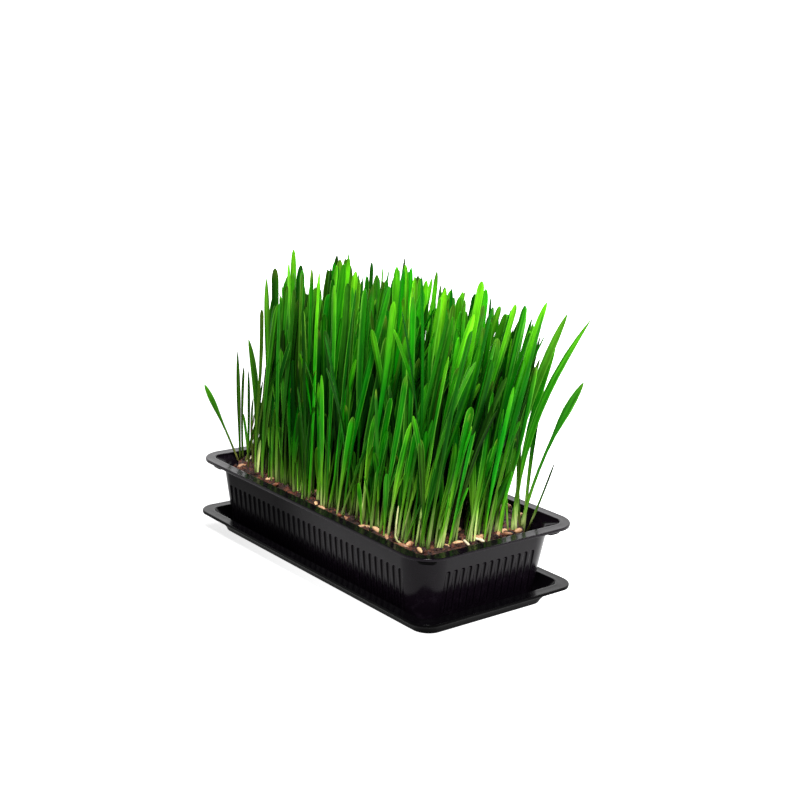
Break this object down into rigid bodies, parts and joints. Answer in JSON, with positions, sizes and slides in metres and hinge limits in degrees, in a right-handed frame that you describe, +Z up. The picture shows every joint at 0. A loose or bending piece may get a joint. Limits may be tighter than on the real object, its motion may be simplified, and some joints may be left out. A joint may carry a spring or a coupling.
{
  "type": "wheatgrass tray",
  "caption": "Wheatgrass growing in a fluted black plastic tray filled with soil, standing in a shallow drip tray.",
  "frame": {"origin": "centre of the drip tray's underside, on the surface that the trays stand on", "axes": "+X along the trays' long sides, +Y across them, +Z up; the grass leans towards +X and +Y"},
  "size_m": [0.232, 0.1214, 0.195],
  "materials": {
    "drip_tray_plastic": "satin",
    "growing_tray_plastic": "satin",
    "soil": "matte",
    "grass": "satin"
  },
  "bodies": {
    "root": {"drip_tray": "drip_tray_plastic", "growing_tray": "growing_tray_plastic", "growing_medium": "soil", "wheatgrass_bunch_01": "grass", "wheatgrass_bunch_02": "grass", "wheatgrass_bunch_03": "grass", "wheatgrass_bunch_04": "grass", "wheatgrass_bunch_05": "grass", "wheatgrass_bunch_06": "grass", "wheatgrass_bunch_07": "grass", "wheatgrass_bunch_08": "grass", "wheatgrass_bunch_09": "grass", "wheatgrass_bunch_10": "grass", "wheatgrass_bunch_11": "grass", "wheatgrass_bunch_12": "grass", "wheatgrass_bunch_13": "grass", "wheatgrass_bunch_14": "grass", "wheatgrass_bunch_15": "grass", "wheatgrass_bunch_16": "grass", "wheatgrass_bunch_17": "grass", "wheatgrass_bunch_18": "grass"}
  },
  "joints": []
}
